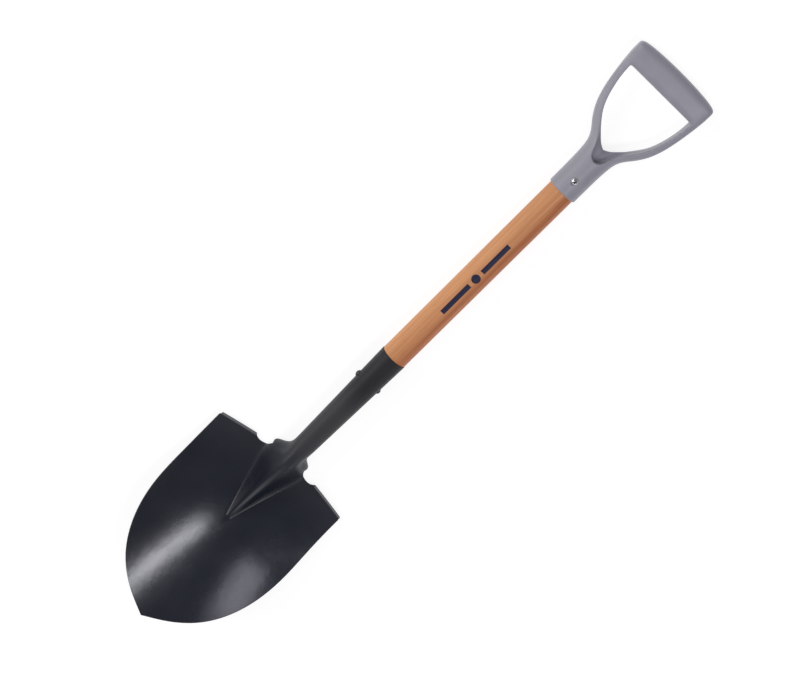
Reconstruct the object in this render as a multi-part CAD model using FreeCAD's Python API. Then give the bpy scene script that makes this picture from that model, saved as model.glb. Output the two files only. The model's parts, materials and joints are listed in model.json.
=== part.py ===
"""Round point shovel with a D-grip: pressed steel blade and socket, wooden shaft, moulded grip.

Tool frame used while modelling: X runs along the shaft towards the grip, Y is the left side and
Z the front, with the origin at the centre of the socket's mouth. The finished pieces are then laid
down as the shovel rests on its back, with the origin at the bottom centre of its box.
"""
import FreeCAD, Part
import math
import os

Vec = FreeCAD.Vector
X_AXIS = Vec(1, 0, 0)
Y_AXIS = Vec(0, 1, 0)
Z_AXIS = Vec(0, 0, 1)

# ---- driving dimensions, millimetres ----
SHEET = 1.8                # steel sheet thickness
FAR = 120.0                # reach of cutting bodies, past every surface

TIP_X = -505.0             # point of the blade
SHOULDER_X = -217.3        # inner end of each shoulder
SHOULDER_DROP = 9.0        # the outer end lies this much nearer the point
BLADE_HALF_WIDTH = 111.8

BELLY_X = -270.0           # deepest place of the dish
BELLY_Z = -33.0
TIP_RISE = 80.0            # point above the belly
SHOULDER_RISE = 60.0       # same curve, on the shoulder side of the belly
DISH_MIDDLE = 24.0         # rise of the rim above the centre line, middle of the blade
DISH_SHOULDER = 13.0       # the same at the shoulders

NOTCH_RADIUS = 14.2        # relief cut between each foot step and the ridge
NOTCH_Y = 43.7
NOTCH_CENTRE = 6.0         # centre of its arc, above the shoulder
STEP_DEPTH = 11.0          # foot steps turned forward from the shoulders
STEP_INNER_Y = 55.7
STEP_OUTER_Y = 109.0

FROG_TOP_X = -222.0        # ridge between the shoulders, where the socket runs into the blade
FROG_RISE = 43.0           # height of its crest above the dish there
FROG_END_X = -344.0        # where the ridge dies out in the dish
FROG_SLOPE = 1.55          # steepness of its flanks
FROG_CREST = (3.0, 8.0)    # half width of its rounded crest, at its end and at its top

NECK_X = -172.0            # end of the round part of the socket
NECK_RADIUS = 15.5
MOUTH_RADIUS = 19.6
SEAM_GAP = 2.4             # open seam at the back of the socket, at the mouth

SHAFT_RADIUS = 19.0
SHAFT_FIT = 0.15           # clearance of the shaft in the socket
SHAFT_END_X = -165.0
SLEEVE_X = 312.0           # mouth of the grip's sleeve
TENON_RADIUS = 17.4
TENON_LENGTH = 50.0

RIVET_X = -50.0
RIVET_RADIUS = 3.2
RIVET_HEAD = (5.2, 3.2)    # radius and height of the domed head, left
RIVET_PEEN = (4.2, 2.4)    # radius and height of the peened end, right

SLEEVE_RADIUS = 21.15
BAR_X = 484.5              # inner side of the hand bar
BAR_END_X = 520.5
BAR_BOW = 3.4
BAR_ROUNDING = 8.0         # the bar's inner side curves away by this much, front and back
OPENING_CORNER = 5.0
OPENING_LEVELS = (1.5, 4.0, 6.0, 8.0, 10.5, 13.5, 16.0, 21.5)
WEB_RISE = 9.0             # the thin web in the crotch thickens to the full arm over this height
CROTCH_X = 385.5
POCKET_X = 368.0

SCREW_X = 334.0
SCREW_SEAT_Z = 20.2
SCREW_HEAD = (4.9, 2.9)
SCREW_SHANK_RADIUS = 2.2
SCREW_LENGTH = 24.0


def mix(a, b, t):
    return a + (b - a) * t


def smooth(t):
    t = min(1.0, max(0.0, t))
    return t * t * (3 - 2 * t)


# ---- the dish of the blade ----
def centre_height(x):
    """Height of the dish's front surface on the centre line."""
    q = (BELLY_X - x) / (BELLY_X - TIP_X)
    rise = TIP_RISE if q > 0 else SHOULDER_RISE
    return BELLY_Z + rise * q * q


def dish_height(x, y):
    """Height of the blade's front surface."""
    t = smooth((x - FROG_END_X) / (SHOULDER_X - FROG_END_X))
    rise = mix(DISH_MIDDLE, DISH_SHOULDER, t)
    return centre_height(x) + rise * (y / BLADE_HALF_WIDTH) ** 2


def dish_point(x, y, below):
    """Point at a depth below the front surface, measured square to it."""
    step = 0.01
    slope_x = (dish_height(x + step, y) - dish_height(x - step, y)) / (2 * step)
    slope_y = (dish_height(x, y + step) - dish_height(x, y - step)) / (2 * step)
    normal = Vec(-slope_x, -slope_y, 1).normalize()
    return Vec(x, y, dish_height(x, y)) - normal * below


def under_dish(below, margin):
    """Everything below the surface that lies at this depth in the sheet."""
    rows = 22
    columns = 15
    x_low, x_high = TIP_X - 10 - margin, FROG_TOP_X + 8
    y_far = BLADE_HALF_WIDTH + 8 + margin
    grid = []
    for i in range(rows):
        x = mix(x_low, x_high, i / (rows - 1))
        ys = [mix(-y_far, y_far, j / (columns - 1)) for j in range(columns)]
        grid.append([dish_point(x, y, below) for y in ys])
    surface = Part.BSplineSurface()
    surface.interpolate(grid)
    return surface.toShape().extrude(Vec(0, 0, -FAR))


def shoulder_point(side, y):
    """Point on the straight edge of a shoulder."""
    t = (y - NOTCH_Y) / (BLADE_HALF_WIDTH - 1.3 - NOTCH_Y)
    return Vec(SHOULDER_X - SHOULDER_DROP * t, side * y, 0)


def blade_outline():
    """Flat outline of the blade: straight shoulders, long sides and a pointed end."""
    corner = shoulder_point(1, BLADE_HALF_WIDTH - 1.3)
    side = [
        corner,
        Vec(-300, BLADE_HALF_WIDTH, 0),
        Vec(-365, 110.8, 0),
        Vec(-415, 99, 0),
        Vec(-461, 71, 0),
        Vec(-491.5, 30.5, 0),
        Vec(TIP_X, 0, 0),
    ]
    left = Part.BSplineCurve()
    left.interpolate(side)
    right = Part.BSplineCurve()
    right.interpolate([Vec(p.x, -p.y, 0) for p in reversed(side)])
    inner = [Vec(SHOULDER_X, NOTCH_Y, 0), Vec(SHOULDER_X, -NOTCH_Y, 0)]
    other = Vec(corner.x, -corner.y, 0)
    edges = [left.toShape(), right.toShape()]
    for a, b in ((other, inner[1]), (inner[1], inner[0]), (inner[0], corner)):
        edges.append(Part.makeLine(a, b))
    return Part.Face(Part.Wire(Part.sortEdges(edges)[0]))


def tall(face):
    """A flat outline made into a prism that passes through every surface."""
    low = face.copy()
    low.translate(Vec(0, 0, -FAR))
    return low.extrude(Vec(0, 0, 2 * FAR))


# ---- ridge, neck and socket: rows of control points, half a section each ----
def frog_row(x):
    """Half section of the ridge: crest, straight flank down past the dish, deep floor."""
    t = (x - FROG_END_X) / (FROG_TOP_X - FROG_END_X)
    crest = mix(FROG_CREST[0], FROG_CREST[1], max(t, 0))
    top = centre_height(x) + FROG_RISE * t
    foot = max(FROG_RISE * t / FROG_SLOPE, 3.0)
    flank = [(crest + foot * k, top - FROG_SLOPE * foot * k) for k in (0.0, 0.55, 1.0, 1.35)]
    edge = flank[-1][0]
    floor = BELLY_Z - 22
    rest = [(edge, mix(flank[-1][1], floor, 0.6)), (edge, floor)]
    return [(0, top)] + flank + rest + [(edge / 2, floor), (0, floor)]


def ring_row(radius):
    """Half section of a round tube; the curve runs just inside its control points."""
    reach = radius / 0.9746
    angles = [math.radians(22.5 * k) for k in range(9)]
    return [(reach * math.sin(a), reach * math.cos(a)) for a in angles]


def neck_rows():
    """The neck: flanks fold back along a crease and wrap round into the socket."""
    return [
        (-214, [(0, 14.4), (7.4, 14.2), (17.5, -4), (27, -21.5), (31.5, -28.5),
                (32.5, -36), (28, -44), (14, -44), (0, -44)]),
        (-207.5, [(0, 15.3), (7.2, 14.9), (14.4, 3), (21, -11), (30.5, -21.5),
                  (32, -31), (25, -37), (12, -37), (0, -37)]),
        (-201, [(0, 15.8), (6.9, 15.1), (12.2, 7), (15, -3.5), (23.5, -13.5),
                (24.5, -24), (17, -29), (8, -29), (0, -29)]),
        (-194, [(0, 16), (6.4, 15.3), (11.5, 9.4), (14, 1), (17, -7),
                (17.5, -16), (12.5, -21.5), (6, -22), (0, -22)]),
        (-185, [(0, 16), (6, 15.2), (11.3, 10.6), (14.4, 4), (15.6, -2.5),
                (14.6, -9.5), (10.8, -14.8), (5.8, -17.6), (0, -18)]),
    ]


def inset(row, depth):
    """The same half section moved inwards by the sheet thickness."""
    full = row + [(-y, z) for y, z in row[-2:0:-1]]
    count = len(full)
    moved = []
    for k in range(len(row)):
        before, here, after = full[k - 1], full[k], full[(k + 1) % count]
        sides = []
        for a, b in ((before, here), (here, after)):
            dy, dz = b[0] - a[0], b[1] - a[1]
            length = math.hypot(dy, dz)
            sides.append((dz / length, -dy / length))
        ny, nz = sides[0][0] + sides[1][0], sides[0][1] + sides[1][1]
        scale = depth * 2 / max(ny * ny + nz * nz, 1.2)
        moved.append((here[0] + ny * scale, here[1] + nz * scale))
    return moved


def section_rows():
    rows = [(x, frog_row(x)) for x in (-366, -354, -342, -326, -302, -274, -248, -230)]
    rows += neck_rows()
    for x in (-176, -166, -140, -100, -50, -15, 0):
        radius = mix(MOUTH_RADIUS, NECK_RADIUS, x / NECK_X)
        rows.append((x, ring_row(radius)))
    return rows


def skin(rows):
    """Closed solid on a net of control points, one row for each section."""
    poles = []
    for x, half in rows:
        full = half + [(-y, z) for y, z in half[-2:0:-1]]
        poles.append([Vec(x, y, z) for y, z in full])
    count = len(poles)
    around = len(poles[0])
    knots = list(range(count - 2))
    mults = [4] + [1] * (count - 4) + [4]
    surface = Part.BSplineSurface()
    surface.buildFromPolesMultsKnots(
        poles, mults, [1] * (around + 1), knots, list(range(around + 1)), False, True, 3, 3)
    side = surface.toShape()
    caps = [Part.Face(Part.Wire([e])) for e in side.Edges if e.isClosed() and e.BoundBox.XLength < 1e-6]
    shell = Part.makeShell([side] + caps)
    shell.sewShape()
    solid = Part.makeSolid(shell)
    if solid.Volume < 0:
        solid.reverse()
    return solid


def side_profile(points, half_width):
    """A side outline made into a bar of this half width, open downwards."""
    low = [Vec(points[-1][0], -half_width, -FAR), Vec(points[0][0], -half_width, -FAR)]
    edge = [Vec(x, -half_width, z) for x, z in points] + low
    return Part.Face(Part.makePolygon(edge + edge[:1])).extrude(Vec(0, 2 * half_width, 0))


def back_opening():
    """Opening at the back: a wide mouth under the ridge that narrows to the seam."""
    half = [(-236, 28), (-214, 28), (-207, 25), (-200, 15), (-190, 6), (-176, 3.5), (2, SEAM_GAP / 2)]
    flat = [Vec(x, y, 0) for x, y in half] + [Vec(x, -y, 0) for x, y in reversed(half)]
    plan = tall(Part.Face(Part.makePolygon(flat + flat[:1])))
    roof = [(-236, -46), (-214, -33), (-207, -26), (-200, -18), (-190, -11), (-176, -9), (2, -9)]
    floor = [(-236, -33.5), (-214, -32.5), (-205, -28), (-196, -23.5)]
    return side_profile(floor, FAR).fuse(plan.common(side_profile(roof, FAR)))


def foot_step(side, below_back):
    """Foot step: the shoulder's edge turned forward."""
    start = shoulder_point(side, STEP_INNER_Y)
    end = shoulder_point(side, STEP_OUTER_Y)
    back = Vec(-SHEET, 0, 0)
    strip = Part.Face(Part.makePolygon([start, end, end + back, start + back, start]))
    raised = under_dish(0, 0)
    raised.translate(Vec(0, 0, STEP_DEPTH))
    return tall(strip).common(raised).cut(below_back)


def blade():
    """One steel sheet: dished blade, ridge, turned foot steps and rolled socket."""
    below_back = under_dish(SHEET, 10)
    rows = section_rows()
    outer = skin(rows)
    inner_rows = [(x, inset(row, SHEET)) for x, row in rows]
    inner_rows.append((6, inner_rows[-1][1]))
    inner = skin(inner_rows)
    pan = tall(blade_outline()).common(under_dish(0, 0)).cut(below_back)
    pan = pan.cut(inner)
    ridge = outer.cut(below_back).cut(inner).cut(back_opening())
    body = pan.fuse([ridge, foot_step(1, below_back), foot_step(-1, below_back)])
    for side in (1, -1):
        centre = Vec(SHOULDER_X + NOTCH_CENTRE, side * NOTCH_Y, -FAR)
        body = body.cut(Part.makeCylinder(NOTCH_RADIUS, 2 * FAR, centre))
    hole = Part.makeCylinder(RIVET_RADIUS, 60, Vec(RIVET_X, -30, 0), Y_AXIS)
    body = body.cut(hole)
    return body.removeSplitter()


# ---- wooden shaft ----
def shaft():
    """Turned hardwood: tapered into the socket, straight, with a tenon for the grip."""
    fit = SHEET + SHAFT_FIT
    low = mix(MOUTH_RADIUS, NECK_RADIUS, SHAFT_END_X / NECK_X) - fit
    end = SLEEVE_X + TENON_LENGTH
    profile = [
        (SHAFT_END_X, 0), (SHAFT_END_X, low - 2), (SHAFT_END_X + 2, low), (0, MOUTH_RADIUS - fit),
        (0, SHAFT_RADIUS - 0.4), (0.8, SHAFT_RADIUS), (SLEEVE_X, SHAFT_RADIUS),
        (SLEEVE_X, TENON_RADIUS), (end - 2, TENON_RADIUS), (end, TENON_RADIUS - 2), (end, 0),
    ]
    points = [Vec(x, 0, r) for x, r in profile]
    turned = Part.Face(Part.makePolygon(points + points[:1])).revolve(Vec(), X_AXIS, 360)
    rivet_hole = Part.makeCylinder(RIVET_RADIUS, 60, Vec(RIVET_X, -30, 0), Y_AXIS)
    return turned.cut(rivet_hole).cut(screw_hole())


# ---- rivet through socket and shaft ----
def dome(radius, height, side):
    """Cap of a sphere whose flat side sits inside the socket's wall."""
    seat = mix(MOUTH_RADIUS, NECK_RADIUS, RIVET_X / NECK_X) - SHEET
    tall_by = height + SHEET
    ball = (radius ** 2 + height ** 2) / (2 * height)
    cap = Part.makeSphere(ball, Vec(RIVET_X, side * (seat + tall_by - ball), 0))
    disc = Part.makeCylinder(radius, tall_by, Vec(RIVET_X, side * seat, 0), Y_AXIS * side)
    return cap.common(disc)


def socket_rivet(sheet):
    """Solid rivet, domed on the left and peened over on the right."""
    seat = mix(MOUTH_RADIUS, NECK_RADIUS, RIVET_X / NECK_X)
    shank = Part.makeCylinder(RIVET_RADIUS, 2 * seat, Vec(RIVET_X, -seat, 0), Y_AXIS)
    heads = [dome(*RIVET_HEAD, 1), dome(*RIVET_PEEN, -1)]
    whole = shank.fuse(heads).removeSplitter().cut(sheet)
    return max(whole.Solids, key=lambda s: s.Volume)


# ---- moulded D-grip ----
def oval_row(half_width, half_depth, power):
    """Half section across the grip: round at power 2, boxier above it."""
    reach = mix(1 / 0.9746, 1.0, smooth((power - 2) / 2))
    row = []
    for k in range(9):
        a = math.radians(22.5 * k)
        c, s = math.cos(a), math.sin(a)
        y = half_width * reach * abs(s) ** (2 / power)
        z = half_depth * reach * math.copysign(abs(c) ** (2 / power), c)
        row.append((y if 0 < k < 8 else 0, z))
    return row


def grip_body():
    """Outside of the grip: round sleeve that spreads and flattens into the two arms and the bar."""
    rows = [
        (SLEEVE_X, 20.2, 20.2, 2), (SLEEVE_X + 0.8, 21, 21, 2),
        (SLEEVE_X + 3, SLEEVE_RADIUS, SLEEVE_RADIUS, 2),
        (325, SLEEVE_RADIUS, SLEEVE_RADIUS, 2), (345, SLEEVE_RADIUS, SLEEVE_RADIUS, 2),
        (360, 21.5, 21.3, 2), (372, 22.2, 21.2, 2.1), (383, 23.8, 20.4, 2.2), (393, 29, 18.6, 2.5),
        (404, 39, 16, 2.9), (417, 47.5, 13.8, 3.3), (432, 53.6, 12.6, 3.7), (450, 58, 12.2, 4),
        (468, 60.8, 12.8, 4), (482, 62.4, 14.6, 4), (494, 63.4, 16, 4), (506, 63.9, 15.8, 4),
        (515, 63.9, 14.2, 4), (520, 63.9, 11.4, 4), (BAR_END_X + 2, 63.6, 8, 4),
    ]
    return skin([(x, oval_row(*row)) for x, *row in rows])


def bar_end():
    """Everything past the bowed outer side of the hand bar, with its rounded corners."""
    half = 62.8
    corner = 5.0
    right = Vec(BAR_END_X - BAR_BOW - corner, -half - 2, 0)
    left = Vec(right.x, -right.y, 0)
    arc = Part.Arc(Vec(BAR_END_X - BAR_BOW, half - corner, 0), Vec(BAR_END_X, 0, 0),
                   Vec(BAR_END_X - BAR_BOW, corner - half, 0)).toShape()
    far_right = Vec(BAR_END_X + 30, right.y, 0)
    far_left = Vec(BAR_END_X + 30, left.y, 0)
    path = [
        Part.makeLine(left, arc.Vertexes[0].Point), arc,
        Part.makeLine(arc.Vertexes[1].Point, right), Part.makeLine(right, far_right),
        Part.makeLine(far_right, far_left), Part.makeLine(far_left, left),
    ]
    return tall(Part.Face(Part.Wire(Part.sortEdges(path)[0])))


def opening_wire(level):
    """Outline of the hand opening at a height above or below the web in the crotch."""
    height = abs(level) - OPENING_LEVELS[0]
    t = smooth(height / WEB_RISE)
    inner = [(388.5, 6), (395, 13.9), (407.5, 26), (422.5, 37.4), (436, 43.8), (450, 48.2), (466, 51.4)]
    outer = [(371, 7.5), (379, 11.2), (396, 19.6), (410, 29.6), (424, 39), (438, 45), (466, 51.4)]
    half = [(mix(a[0], b[0], t), mix(a[1], b[1], t)) for a, b in zip(inner, outer)]
    bar = BAR_X + BAR_ROUNDING * min(height / 14.5, 1.1) ** 4
    bend = Vec(bar - OPENING_CORNER, 53.0, level)
    top = Vec(bar, bend.y - OPENING_CORNER, level)
    middle = Vec(mix(bend.x, top.x, 0.7), mix(top.y, bend.y, 0.7), level)
    side = [bend] + [Vec(x, y, level) for x, y in reversed(half)]
    mirrored = [Vec(p.x, -p.y, level) for p in reversed(side)]
    curve = Part.BSplineCurve()
    curve.interpolate(side + [Vec(mix(CROTCH_X, POCKET_X, t), 0, level)] + mirrored)
    low_top, low_middle = Vec(top.x, -top.y, level), Vec(middle.x, -middle.y, level)
    return Part.Wire([
        curve.toShape(),
        Part.Arc(mirrored[-1], low_middle, low_top).toShape(),
        Part.makeLine(low_top, top),
        Part.Arc(top, middle, bend).toShape(),
    ])


def hand_opening():
    """Hand opening, flared towards the front and the back, with the bar's inner side rounded."""
    levels = [-z for z in reversed(OPENING_LEVELS)] + list(OPENING_LEVELS)
    wires = [opening_wire(level) for level in levels]
    slices = [Part.makeLoft([a, b], True, True) for a, b in zip(wires, wires[1:])]
    return slices[0].fuse(slices[1:])


def screw_hole():
    return Part.makeCylinder(SCREW_SHANK_RADIUS, SCREW_LENGTH + 1,
                             Vec(SCREW_X, 0, SCREW_SEAT_Z - SCREW_LENGTH), Z_AXIS)


def grip():
    """One moulding: sleeve with a blind bore, two arms and the hand bar."""
    body = grip_body().cut(bar_end())
    end_edges = [e for e in body.Edges if e.BoundBox.XMin > 512 and abs(e.CenterOfMass.z) > 4]
    body = body.makeFillet(3.0, end_edges).cut(hand_opening())
    bore = Part.makeCylinder(TENON_RADIUS, TENON_LENGTH + 0.5, Vec(SLEEVE_X, 0, 0), X_AXIS)
    seat = Part.makeCylinder(SCREW_HEAD[0] + 0.25, 5, Vec(SCREW_X, 0, SCREW_SEAT_Z), Z_AXIS)
    return body.cut(bore).cut(seat).cut(screw_hole()).removeSplitter()


# ---- screw that pins the grip to the shaft ----
def grip_screw():
    """Pan-head screw with a cross recess."""
    radius, height = SCREW_HEAD
    ball = (radius ** 2 + height ** 2) / (2 * height)
    top = SCREW_SEAT_Z + height
    head = Part.makeSphere(ball, Vec(SCREW_X, 0, top - ball))
    head = head.common(Part.makeCylinder(radius, height, Vec(SCREW_X, 0, SCREW_SEAT_Z), Z_AXIS))
    point = 4.0
    shank = Part.makeCylinder(SCREW_SHANK_RADIUS, SCREW_LENGTH - point,
                              Vec(SCREW_X, 0, SCREW_SEAT_Z), Z_AXIS * -1)
    tip = Part.makeCone(SCREW_SHANK_RADIUS, 0.3, point,
                        Vec(SCREW_X, 0, SCREW_SEAT_Z - SCREW_LENGTH + point), Z_AXIS * -1)
    body = head.fuse([shank, tip])
    for angle in (45, 135):
        bar = Part.makeBox(5.0, 1.1, 3, Vec(-2.5, -0.55, top - 1.7))
        bar.rotate(Vec(), Z_AXIS, angle)
        bar.translate(Vec(SCREW_X, 0, 0))
        body = body.cut(bar)
    return body.removeSplitter()


# ---- laid down as it rests ----
def surface_points(shape):
    """Points spread over the surface, close enough together to measure how far it reaches."""
    return shape.tessellate(0.03)[0]


def lowest(points, angle):
    turn = math.radians(angle)
    return min(p.z * math.cos(turn) - p.x * math.sin(turn) for p in points)


def resting_angle(front, back):
    """Turn about Y that puts the belly of the blade and the back of the grip on one level."""
    low, high = -4.0, 4.0
    for _ in range(24):
        angle = (low + high) / 2
        if lowest(front, angle) > lowest(back, angle):
            high = angle
        else:
            low = angle
    return angle


def to_bottom_centre(shapes):
    """Shift to the bottom centre of the box round all the shapes; they are already level with y = 0."""
    points = [p for shape in shapes for p in surface_points(shape)]
    middle = (min(p.x for p in points) + max(p.x for p in points)) / 2
    return Vec(-middle, 0, -min(p.z for p in points))


def main():
    os.makedirs("parts", exist_ok=True)
    sheet = blade()
    pieces = {
        "blade": sheet,
        "shaft": shaft(),
        "socket_rivet": socket_rivet(sheet),
        "grip": grip(),
        "grip_screw": grip_screw(),
    }
    angle = resting_angle(surface_points(pieces["blade"]), surface_points(pieces["grip"]))
    for shape in pieces.values():
        shape.rotate(Vec(), Y_AXIS, angle)
    shift = to_bottom_centre(pieces.values())
    print("resting angle", round(angle, 4), "shift", [round(v, 4) for v in shift])
    for name, shape in pieces.items():
        shape.translate(shift)
        shape.exportStep(f"parts/{name}.step")
        print(name, shape.isValid(), len(shape.Solids), round(shape.Volume))


if __name__ == "__main__":
    main()
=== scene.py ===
"""Looks of the round point shovel: pressed and painted blade, lacquered shaft and moulded D-grip.

Shapes are worked out in millimetres in the tool's own frame: X runs along the shaft towards the
grip, Y is the left side and Z the front, with the origin at the centre of the socket's mouth.
"""
import json
import math

import bmesh
import bpy
import numpy as np
from mathutils import Matrix, Vector


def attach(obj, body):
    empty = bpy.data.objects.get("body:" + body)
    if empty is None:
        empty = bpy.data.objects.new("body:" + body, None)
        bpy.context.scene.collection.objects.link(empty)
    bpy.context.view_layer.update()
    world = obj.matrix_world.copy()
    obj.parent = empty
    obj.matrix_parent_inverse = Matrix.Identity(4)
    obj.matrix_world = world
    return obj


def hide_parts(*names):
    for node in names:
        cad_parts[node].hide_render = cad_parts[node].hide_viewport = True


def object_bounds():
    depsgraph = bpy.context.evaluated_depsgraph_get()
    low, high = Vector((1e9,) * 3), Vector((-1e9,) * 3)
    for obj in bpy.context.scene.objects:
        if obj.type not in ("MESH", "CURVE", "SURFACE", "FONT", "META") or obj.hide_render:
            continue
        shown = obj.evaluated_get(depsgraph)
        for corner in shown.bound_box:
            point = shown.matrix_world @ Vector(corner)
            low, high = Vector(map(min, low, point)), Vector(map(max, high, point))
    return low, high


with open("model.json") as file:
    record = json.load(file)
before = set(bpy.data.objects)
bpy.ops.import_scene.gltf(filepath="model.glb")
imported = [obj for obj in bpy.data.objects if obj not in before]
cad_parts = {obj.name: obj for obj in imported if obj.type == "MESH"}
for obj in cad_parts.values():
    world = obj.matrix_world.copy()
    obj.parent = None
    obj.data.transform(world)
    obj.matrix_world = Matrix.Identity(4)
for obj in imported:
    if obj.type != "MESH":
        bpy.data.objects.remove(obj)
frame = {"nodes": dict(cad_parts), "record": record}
cad_low, cad_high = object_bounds()

# ---- dimensions in millimetres, as in the CAD ----
MM = 0.001
SHEET = 1.8
TIP_X = -505.0
SHOULDER_X = -217.3
SHOULDER_DROP = 9.0
HALF_WIDTH = 111.8
BELLY_X = -270.0
BELLY_Z = -33.0
TIP_RISE = 80.0
SHOULDER_RISE = 60.0
DISH_MIDDLE = 24.0
DISH_SHOULDER = 13.0
NOTCH_RADIUS = 14.2
NOTCH_X = SHOULDER_X + 6.0
NOTCH_Y = 43.7
STEP_DEPTH = 11.0
STEP_OUTER_Y = 109.0
FROG_TOP_X = -222.0
FROG_RISE = 43.0
FROG_SLOPE = 1.55
FROG_END_X = -344.0
NECK_X = -172.0
NECK_RADIUS = 15.5
MOUTH_RADIUS = 19.6
SLEEVE_X = 312.0
BAR_X = 484.5
BAR_END_X = 520.5
BAR_BOW = 3.4
BAR_HALF_WIDTH = 62.8
BAR_ROUNDING = 8.0         # the bar's inner side curves away by this much, front and back
TENON_RADIUS = 17.4
TENON_LENGTH = 50.0
SCREW_X = 334.0
SCREW_SEAT_Z = 20.2
SHAFT_RADIUS = 19.0

# ---- dimensions in millimetres of details that are finer here than in the CAD ----
FROG_CREST = (2.6, 8.0)    # half width of the ridge's rounded crest, at its end and at its top
FROG_FLOOR = BELLY_Z - 22  # inside of the ridge's rings, out of sight below the dish
NO_RIDGE_Z = -90.0         # height taken for the ridge before it begins, well below the dish
CREASE = (4.0, 20.0)       # reach of the rounding where the ridge meets the dish, at its end and top
STEP_BEND = 2.7            # inner radius of the foot step's fold
STEP_CORNERS = (1.6, 4.5)  # radii of the foot step's corners, inner and outer
RIM = 0.5                  # rounding of the sheet's cut edges
BAR_END_CURVE = 7.0        # the bar's outer side curves away by this much, front and back
BAR_HALF_DEPTH = 15.5
SCREW_SEAT_RADIUS = 5.2
WEB_RISE = 5.5             # the thin web in the crotch thickens to the full arm over this height

# ---- the tool's frame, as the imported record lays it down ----
mounts = {m["name"]: m for m in frame["record"]["mounts"]}
along = -Vector(mounts["hanging_bar"]["axis"]).normalized()
front = Vector((-along.z, 0, along.x))
mouth = Vector(mounts["hanging_bar"]["pos_m"]) - along * BAR_X * MM
TOOL = Matrix((along, (0, 1, 0), front)).transposed().to_4x4()
TOOL.translation = mouth


def placed(points):
    """Points in the tool's frame, in millimetres, as metres in the row frame."""
    turn = np.array(TOOL.to_3x3())
    return (np.asarray(points) * MM) @ turn.T + np.array(mouth)


def turned(directions):
    return np.asarray(directions) @ np.array(TOOL.to_3x3()).T


def mix(a, b, t):
    return a + (b - a) * t


def smooth(t):
    t = np.clip(t, 0, 1)
    return t * t * (3 - 2 * t)


def blended_max(a, b, reach):
    """Larger of two values, with the corner between them rounded over this reach."""
    h = np.maximum(reach - np.abs(a - b), 0) / reach
    return np.maximum(a, b) + h ** 3 * reach / 6


def unit(v):
    return v / np.maximum(np.linalg.norm(v, axis=-1, keepdims=True), 1e-12)


# ---- splines ----
def clamped_weights(count, u):
    """Weights of evenly spaced cubic control points, clamped at both ends."""
    knots = np.r_[0, 0, 0, np.arange(count - 2), [count - 3] * 3].astype(float)
    u = np.clip(np.asarray(u, float), 0, count - 3 - 1e-9)
    weights = [((knots[i] <= u) & (u < knots[i + 1])).astype(float) for i in range(len(knots) - 1)]
    for degree in (1, 2, 3):
        raised = []
        for i in range(len(weights) - 1):
            left = knots[i + degree] - knots[i]
            right = knots[i + degree + 1] - knots[i + 1]
            a = (u - knots[i]) / left * weights[i] if left else 0 * u
            b = (knots[i + degree + 1] - u) / right * weights[i + 1] if right else 0 * u
            raised.append(a + b)
        weights = raised
    return np.array(weights).T


def ring_weights(count, v):
    """Weights of cubic control points round a closed ring."""
    v = np.asarray(v, float)
    k = np.floor(v).astype(int)
    f = v - k
    parts = ((1 - f) ** 3, 3 * f ** 3 - 6 * f ** 2 + 4, -3 * f ** 3 + 3 * f ** 2 + 3 * f + 1, f ** 3)
    weights = np.zeros((len(v), count))
    for offset, part in zip((-1, 0, 1, 2), parts):
        np.add.at(weights, (np.arange(len(v)), (k + offset) % count), part / 6)
    return weights


def fair_path(points, count):
    """Smooth curve through points, as evenly spaced samples."""
    points = np.asarray(points, float)
    chord = np.r_[0, np.cumsum(np.linalg.norm(np.diff(points, axis=0), axis=1))]
    h = np.diff(chord)
    n = len(points)
    system = np.eye(n)
    right = np.zeros_like(points)
    for i in range(1, n - 1):
        system[i, i - 1:i + 2] = h[i - 1], 2 * (h[i - 1] + h[i]), h[i]
        slopes = (points[i + 1] - points[i]) / h[i] - (points[i] - points[i - 1]) / h[i - 1]
        right[i] = 6 * slopes
    bend = np.linalg.solve(system, right)
    s = np.linspace(0, chord[-1], 40 * n)
    k = np.clip(np.searchsorted(chord, s, side="right") - 1, 0, n - 2)
    a = ((chord[k + 1] - s) / h[k])[:, None]
    b = 1 - a
    hk = h[k][:, None]
    curve = a * points[k] + b * points[k + 1]
    curve += ((a ** 3 - a) * bend[k] + (b ** 3 - b) * bend[k + 1]) * hk ** 2 / 6
    run = np.r_[0, np.cumsum(np.linalg.norm(np.diff(curve, axis=0), axis=1))]
    even = np.linspace(0, run[-1], count)
    return np.stack([np.interp(even, run, curve[:, c]) for c in range(2)], -1)


# ---- the blade's front surface ----
def centre_height(x):
    q = (BELLY_X - x) / (BELLY_X - TIP_X)
    return BELLY_Z + np.where(q > 0, TIP_RISE, SHOULDER_RISE) * q * q


def dish_height(x, y):
    t = smooth((x - FROG_END_X) / (SHOULDER_X - FROG_END_X))
    return centre_height(x) + mix(DISH_MIDDLE, DISH_SHOULDER, t) * (y / HALF_WIDTH) ** 2


def frog_row(x):
    """Control points of half a section of the ridge: crest, straight flank, deep floor."""
    t = (x - FROG_END_X) / (FROG_TOP_X - FROG_END_X)
    crest = mix(*FROG_CREST, max(t, 0))
    top = float(centre_height(x)) + FROG_RISE * t
    foot = max(FROG_RISE * t / FROG_SLOPE, 3.0)
    flank = [(crest + foot * k, top - FROG_SLOPE * foot * k) for k in (0.0, 0.55, 1.0, 1.35)]
    edge = flank[-1][0]
    side = [(edge, mix(flank[-1][1], FROG_FLOOR, 0.6)), (edge, FROG_FLOOR)]
    return [(0, top)] + flank + side + [(edge / 2, FROG_FLOOR), (0, FROG_FLOOR)]


def ring_row(radius):
    """Control points of half a round section; they lie outside the circle that they make."""
    reach = radius / 0.9746
    angles = [math.radians(22.5 * k) for k in range(9)]
    return [(reach * math.sin(a), reach * math.cos(a)) for a in angles]


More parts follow.
